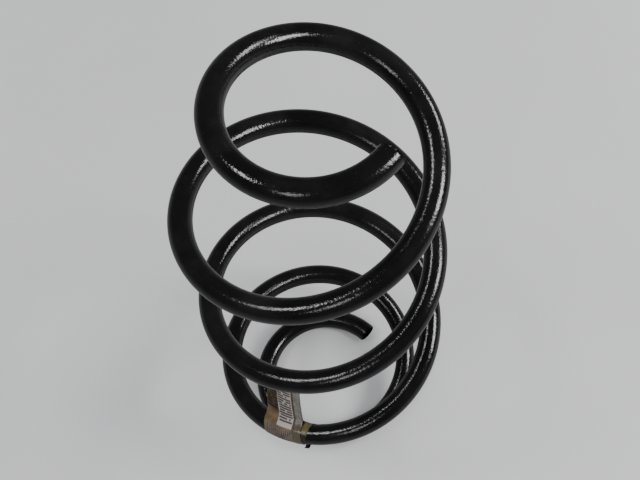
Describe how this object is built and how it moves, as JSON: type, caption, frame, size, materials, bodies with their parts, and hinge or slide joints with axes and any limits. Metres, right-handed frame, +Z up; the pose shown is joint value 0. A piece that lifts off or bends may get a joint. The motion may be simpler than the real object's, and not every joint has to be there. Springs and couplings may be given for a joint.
{
  "type": "coil spring",
  "caption": "Open-coiled suspension spring of one round black-coated bar, right-hand wound, with a smaller flat seat coil at each end and a folded paper label round one coil.",
  "frame": {"origin": "on the spring's axis, where the lower seat coil rests, at the middle of the footprint", "axes": "+Z up the spring's axis, towards the upper end coil; -Y faces the label's side; the upper cut end lies towards +X and -Y"},
  "size_m": [0.1327, 0.1328, 0.3831],
  "materials": {
    "bar_coat": "gloss black powder coat with a fine orange peel",
    "label_paper": "brown label paper with a white printed panel",
    "clear_tape": "clear adhesive tape, slightly yellowed",
    "yellow_band": "faded yellow marking tape"
  },
  "bodies": {
    "lower_end": {"lower_end_coil": "bar_coat"},
    "span_01": {"active_span_01": "bar_coat"},
    "span_02": {"active_span_02": "bar_coat"},
    "span_03": {"active_span_03": "bar_coat", "paper_label": "label_paper", "clear_tape": "clear_tape", "colour_band": "yellow_band"},
    "span_04": {"active_span_04": "bar_coat"},
    "span_05": {"active_span_05": "bar_coat"},
    "span_06": {"active_span_06": "bar_coat"},
    "span_07": {"active_span_07": "bar_coat"},
    "span_08": {"active_span_08": "bar_coat"},
    "span_09": {"active_span_09": "bar_coat"},
    "span_10": {"active_span_10": "bar_coat"},
    "span_11": {"active_span_11": "bar_coat"},
    "span_12": {"active_span_12": "bar_coat"},
    "span_13": {"active_span_13": "bar_coat"},
    "upper_end": {"upper_end_coil": "bar_coat"}
  },
  "joints": [
    {"name": "compression", "type": "slide", "parent": "lower_end", "child": "upper_end", "axis": [0, 0, 1], "range_m": [-0.2, 0], "stiffness_N_per_m": 28800},
    {"name": "travel_01", "type": "slide", "parent": "lower_end", "child": "span_01", "axis": [0, 0, 1], "range_m": [-0.0112, 0]},
    {"name": "travel_02", "type": "slide", "parent": "lower_end", "child": "span_02", "axis": [0, 0, 1], "range_m": [-0.0264, 0]},
    {"name": "travel_03", "type": "slide", "parent": "lower_end", "child": "span_03", "axis": [0, 0, 1], "range_m": [-0.0416, 0]},
    {"name": "travel_04", "type": "slide", "parent": "lower_end", "child": "span_04", "axis": [0, 0, 1], "range_m": [-0.0569, 0]},
    {"name": "travel_05", "type": "slide", "parent": "lower_end", "child": "span_05", "axis": [0, 0, 1], "range_m": [-0.0721, 0]},
    {"name": "travel_06", "type": "slide", "parent": "lower_end", "child": "span_06", "axis": [0, 0, 1], "range_m": [-0.0874, 0]},
    {"name": "travel_07", "type": "slide", "parent": "lower_end", "child": "span_07", "axis": [0, 0, 1], "range_m": [-0.1026, 0]},
    {"name": "travel_08", "type": "slide", "parent": "lower_end", "child": "span_08", "axis": [0, 0, 1], "range_m": [-0.1179, 0]},
    {"name": "travel_09", "type": "slide", "parent": "lower_end", "child": "span_09", "axis": [0, 0, 1], "range_m": [-0.1331, 0]},
    {"name": "travel_10", "type": "slide", "parent": "lower_end", "child": "span_10", "axis": [0, 0, 1], "range_m": [-0.1484, 0]},
    {"name": "travel_11", "type": "slide", "parent": "lower_end", "child": "span_11", "axis": [0, 0, 1], "range_m": [-0.1636, 0]},
    {"name": "travel_12", "type": "slide", "parent": "lower_end", "child": "span_12", "axis": [0, 0, 1], "range_m": [-0.1788, 0]},
    {"name": "travel_13", "type": "slide", "parent": "lower_end", "child": "span_13", "axis": [0, 0, 1], "range_m": [-0.1941, 0]}
  ],
  "couplings": [
    {"joint": "travel_01", "follows": "compression", "ratio": 0.0533},
    {"joint": "travel_02", "follows": "compression", "ratio": 0.1295},
    {"joint": "travel_03", "follows": "compression", "ratio": 0.2057},
    {"joint": "travel_04", "follows": "compression", "ratio": 0.2819},
    {"joint": "travel_05", "follows": "compression", "ratio": 0.3582},
    {"joint": "travel_06", "follows": "compression", "ratio": 0.4344},
    {"joint": "travel_07", "follows": "compression", "ratio": 0.5106},
    {"joint": "travel_08", "follows": "compression", "ratio": 0.5868},
    {"joint": "travel_09", "follows": "compression", "ratio": 0.6631},
    {"joint": "travel_10", "follows": "compression", "ratio": 0.7393},
    {"joint": "travel_11", "follows": "compression", "ratio": 0.8155},
    {"joint": "travel_12", "follows": "compression", "ratio": 0.8917},
    {"joint": "travel_13", "follows": "compression", "ratio": 0.9679}
  ]
}
